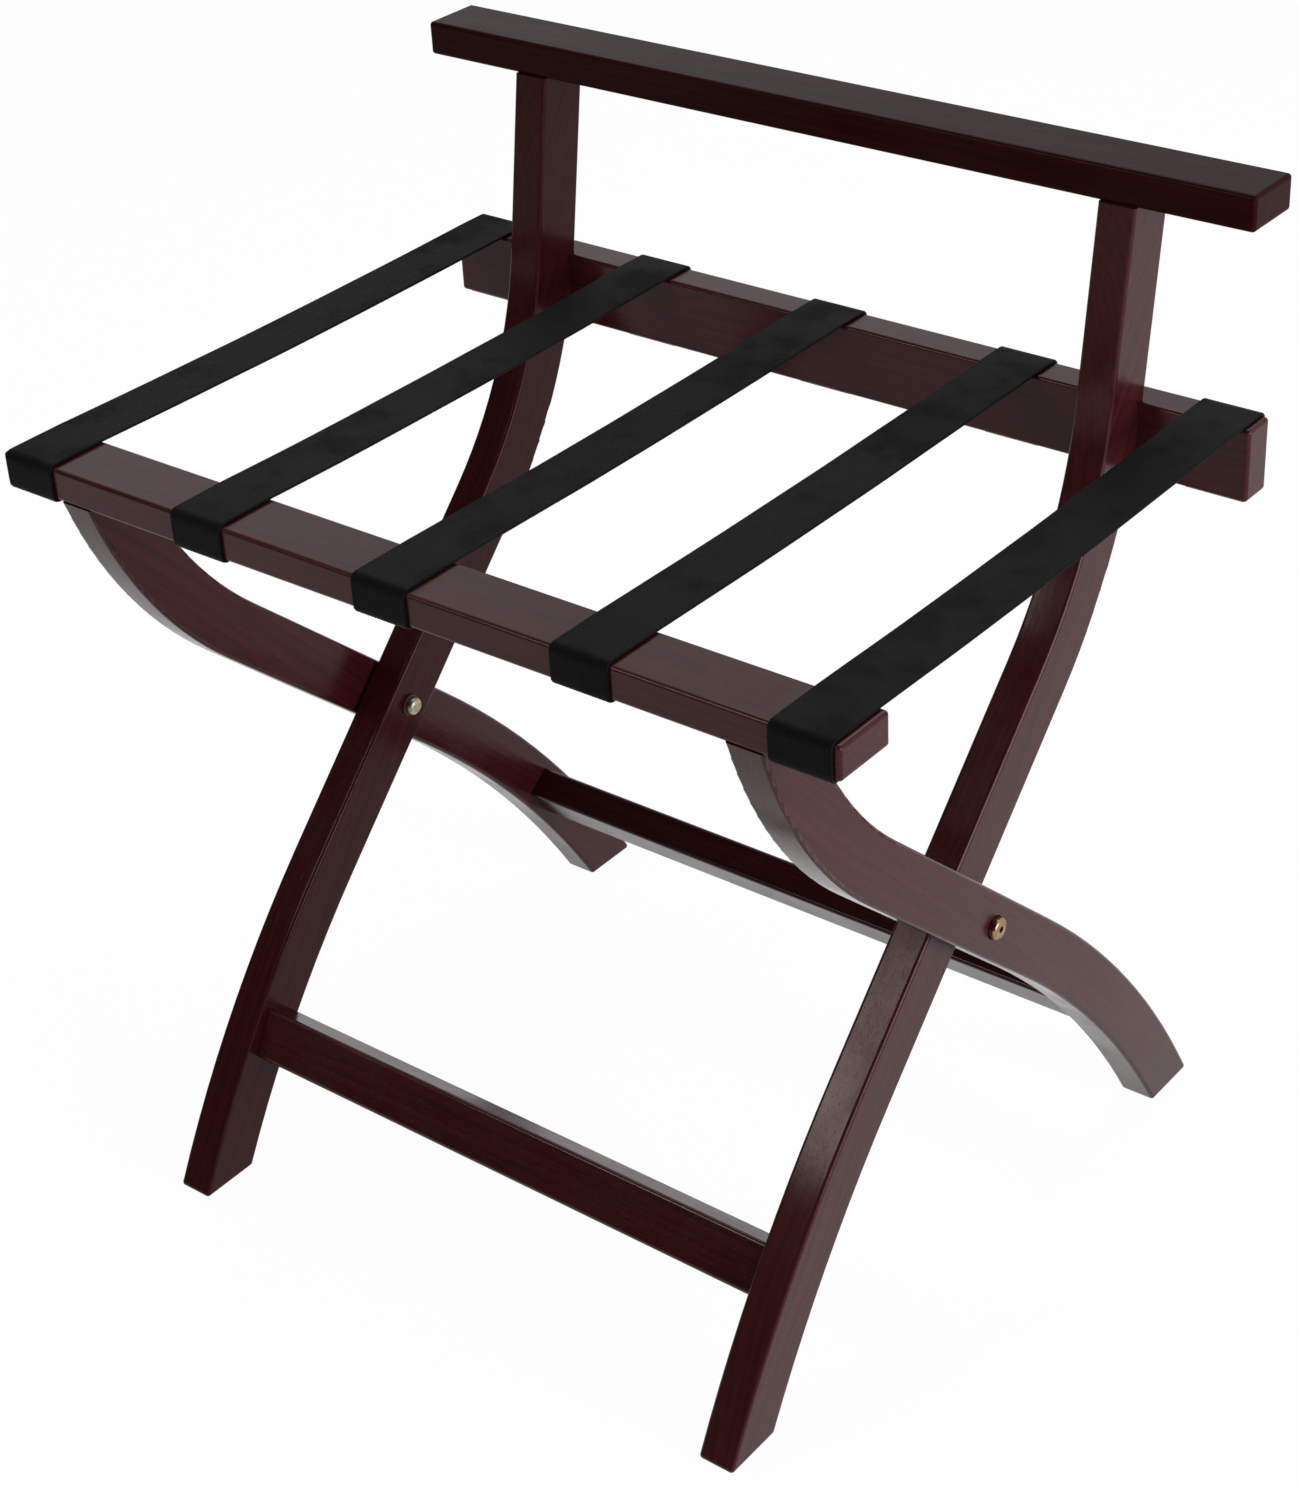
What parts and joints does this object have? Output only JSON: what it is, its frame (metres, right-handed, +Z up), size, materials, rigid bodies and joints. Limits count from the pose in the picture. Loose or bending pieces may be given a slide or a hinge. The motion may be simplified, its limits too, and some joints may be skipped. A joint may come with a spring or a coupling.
{
  "type": "folding luggage rack",
  "caption": "Folding wooden luggage rack with S-curved crossed legs, webbing seat straps and a raised back bar.",
  "frame": {"origin": "on the floor, midway between the foot tips and midway between the rail ends", "axes": "+X along the rails to the right as seen from the front, +Y from the front rail to the back bar, +Z up"},
  "size_m": [0.61, 0.4886, 0.668],
  "materials": {
    "rail_wood": "satin dark mahogany lacquer on solid wood, reddish at the arrises",
    "leg_wood": "satin dark mahogany lacquer on solid wood, reddish at the arrises",
    "stretcher_wood": "satin dark mahogany lacquer on solid wood, reddish at the arrises",
    "dowel_wood": "bare beech",
    "webbing": "black woven webbing, matt",
    "brass_fittings": "brass-coloured plating, satin",
    "nylon": "black nylon",
    "dark_washer": "blackened steel",
    "screw_steel": "zinc-plated steel",
    "staple_steel": "bright steel wire"
  },
  "bodies": {
    "outer_frame": {"front_rail": "rail_wood", "outer_leg_left": "leg_wood", "outer_leg_right": "leg_wood", "rear_stretcher": "stretcher_wood", "front_rail_dowels": "dowel_wood", "rear_stretcher_dowels": "dowel_wood", "front_strap_staples": "staple_steel", "strap_1": "webbing", "strap_2": "webbing", "strap_3": "webbing", "strap_4": "webbing", "strap_5": "webbing", "pivot_bolt_left": "brass_fittings", "pivot_nut_left": "brass_fittings", "pivot_spacer_left": "nylon", "nut_washer_left": "dark_washer", "pivot_bolt_right": "brass_fittings", "pivot_nut_right": "brass_fittings", "pivot_spacer_right": "nylon", "nut_washer_right": "dark_washer"},
    "inner_frame": {"inner_leg_left": "leg_wood", "inner_leg_right": "leg_wood", "rear_rail": "rail_wood", "back_bar": "rail_wood", "front_stretcher": "stretcher_wood", "front_stretcher_dowels": "dowel_wood", "back_bar_dowels": "dowel_wood", "rear_rail_screws": "screw_steel", "rear_strap_staples": "staple_steel"}
  },
  "joints": [
    {"name": "fold", "type": "hinge", "parent": "outer_frame", "child": "inner_frame", "pos_m": [0, -0.006, 0.266], "axis": [1, 0, 0], "range_deg": [0, 66], "deforming": ["strap_1", "strap_2", "strap_3", "strap_4", "strap_5"]}
  ]
}
